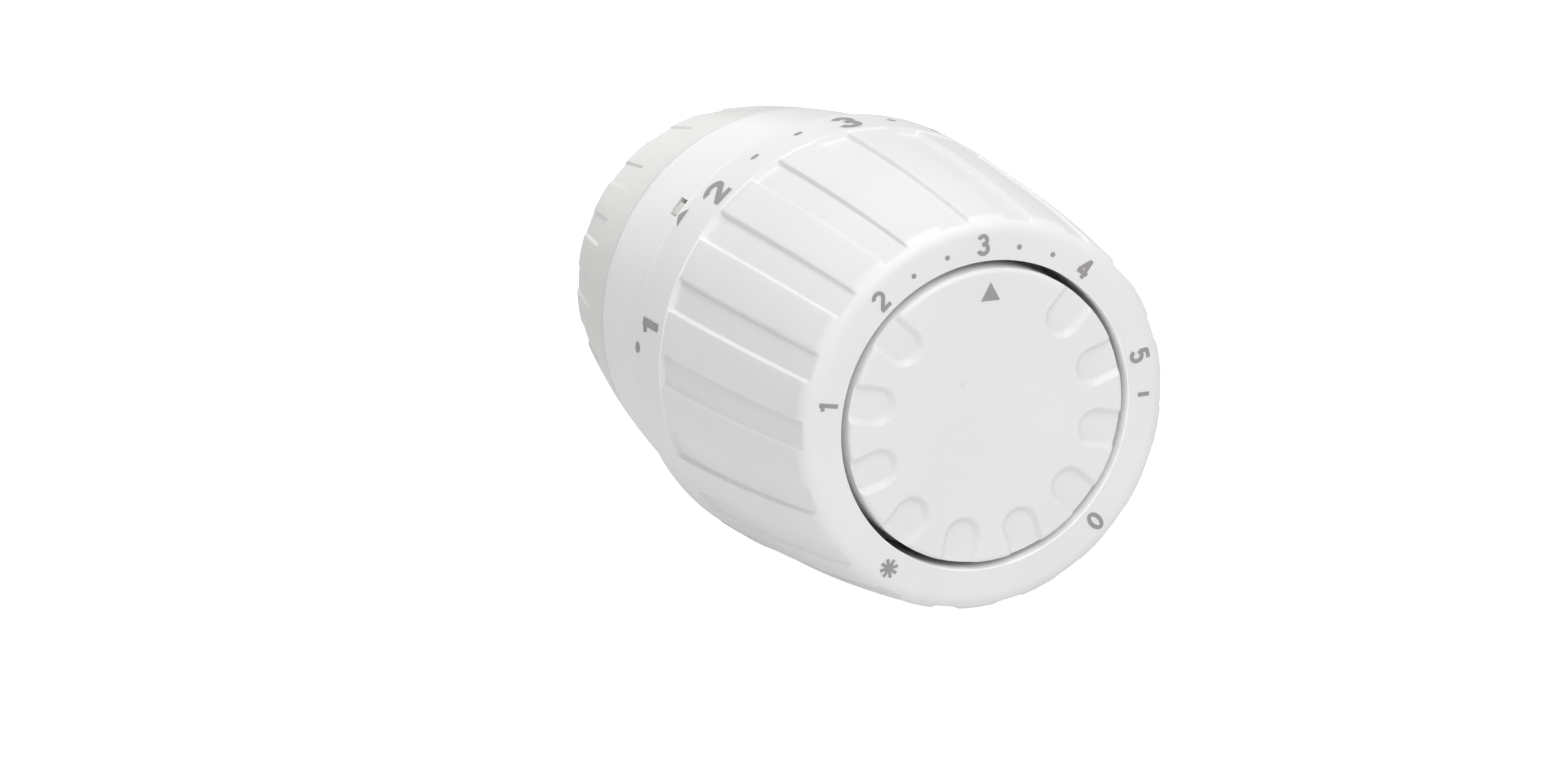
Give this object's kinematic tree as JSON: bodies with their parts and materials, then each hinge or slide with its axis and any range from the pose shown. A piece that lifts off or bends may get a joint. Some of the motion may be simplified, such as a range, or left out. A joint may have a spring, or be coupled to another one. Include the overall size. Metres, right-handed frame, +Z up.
{
  "type": "thermostatic radiator sensor head",
  "caption": "White sensor head of a thermostatic radiator valve: fluted scale handle, fixed pointer cap, tapered base and a cam-locked socket for the valve neck.",
  "frame": {"origin": "centre of the valve-side mouth of the socket, on the head's axis", "axes": "-Y points out of the front face, +Y towards the valve, +Z up through the pointer mark at rest"},
  "size_m": [0.054, 0.073, 0.054],
  "materials": {
    "white_plastic": "satin moulded white",
    "cream_plastic": "satin moulded, greyish cream, slightly translucent",
    "inner_plastic": "natural moulded, matt",
    "spring_steel": "drawn spring steel",
    "can_steel": "deep-drawn tinplate",
    "brass": "bright rolled",
    "copper": "drawn copper",
    "rubber": "moulded"
  },
  "bodies": {
    "base": {"base_housing": "white_plastic", "cap_holder": "inner_plastic", "cap_snap_ring": "spring_steel", "thrust_washer": "inner_plastic", "handle_o_ring": "rubber", "guide_bush": "brass", "spring_seat": "can_steel", "return_spring": "spring_steel", "lock_ring_clip": "spring_steel"},
    "handle": {"setting_handle": "white_plastic", "drive_ring": "inner_plastic"},
    "cap": {"front_cap": "white_plastic"},
    "lock_ring": {"locking_ring": "cream_plastic"},
    "jaw_1": {"clamp_jaw_1": "inner_plastic"},
    "jaw_2": {"clamp_jaw_2": "inner_plastic"},
    "jaw_3": {"clamp_jaw_3": "inner_plastic"},
    "jaw_4": {"clamp_jaw_4": "inner_plastic"},
    "low_pin": {"limit_pin_low": "cream_plastic"},
    "high_pin": {"limit_pin_high": "cream_plastic"},
    "carrier": {"capsule_carrier": "inner_plastic", "capsule_circlip": "spring_steel", "sensor_can": "can_steel", "can_end_plate": "can_steel", "charge_tube": "copper", "bellows": "brass"},
    "actuator": {"bellows_cap": "brass", "push_cup": "can_steel", "cup_clip": "spring_steel", "overtravel_spring": "spring_steel"},
    "pin": {"pressure_pin": "inner_plastic"}
  },
  "joints": [
    {"name": "handle_turn", "type": "hinge", "parent": "base", "child": "handle", "pos_m": [0, 0, 0], "axis": [0, -1, 0], "range_deg": [-225, 88.5]},
    {"name": "carrier_slide", "type": "slide", "parent": "base", "child": "carrier", "axis": [0, -1, 0], "range_m": [-0.00188, 0.00074], "deforming": ["return_spring"]},
    {"name": "sensor_stroke", "type": "slide", "parent": "carrier", "child": "actuator", "axis": [0, 1, 0], "range_m": [0, 0.002], "deforming": ["bellows"]},
    {"name": "overtravel", "type": "slide", "parent": "actuator", "child": "pin", "axis": [0, -1, 0], "range_m": [0, 0.002], "deforming": ["overtravel_spring"]},
    {"name": "cap_turn", "type": "hinge", "parent": "base", "child": "cap", "pos_m": [0, 0, 0], "axis": [0, -1, 0], "continuous": true},
    {"name": "lock_ring_turn", "type": "hinge", "parent": "base", "child": "lock_ring", "pos_m": [0, 0, 0], "axis": [0, -1, 0], "range_deg": [0, 30]},
    {"name": "jaw_slide_1", "type": "slide", "parent": "base", "child": "jaw_1", "axis": [-0.7071, 0, -0.7071], "range_m": [0, 0.0011]},
    {"name": "jaw_slide_2", "type": "slide", "parent": "base", "child": "jaw_2", "axis": [0.7071, 0, -0.7071], "range_m": [0, 0.0011]},
    {"name": "jaw_slide_3", "type": "slide", "parent": "base", "child": "jaw_3", "axis": [0.7071, 0, 0.7071], "range_m": [0, 0.0011]},
    {"name": "jaw_slide_4", "type": "slide", "parent": "base", "child": "jaw_4", "axis": [-0.7071, 0, 0.7071], "range_m": [0, 0.0011]},
    {"name": "low_pin_pull", "type": "slide", "parent": "base", "child": "low_pin", "axis": [-0.7638, 0, 0.6455], "range_m": [0, 0.005]},
    {"name": "high_pin_pull", "type": "slide", "parent": "base", "child": "high_pin", "axis": [0.7638, 0, 0.6455], "range_m": [0, 0.005]}
  ],
  "couplings": [
    {"joint": "carrier_slide", "follows": "handle_turn", "m_per_rad": 0.00047746},
    {"joint": "jaw_slide_1", "follows": "lock_ring_turn", "m_per_rad": 0.0021008},
    {"joint": "jaw_slide_2", "follows": "lock_ring_turn", "m_per_rad": 0.0021008},
    {"joint": "jaw_slide_3", "follows": "lock_ring_turn", "m_per_rad": 0.0021008},
    {"joint": "jaw_slide_4", "follows": "lock_ring_turn", "m_per_rad": 0.0021008}
  ]
}
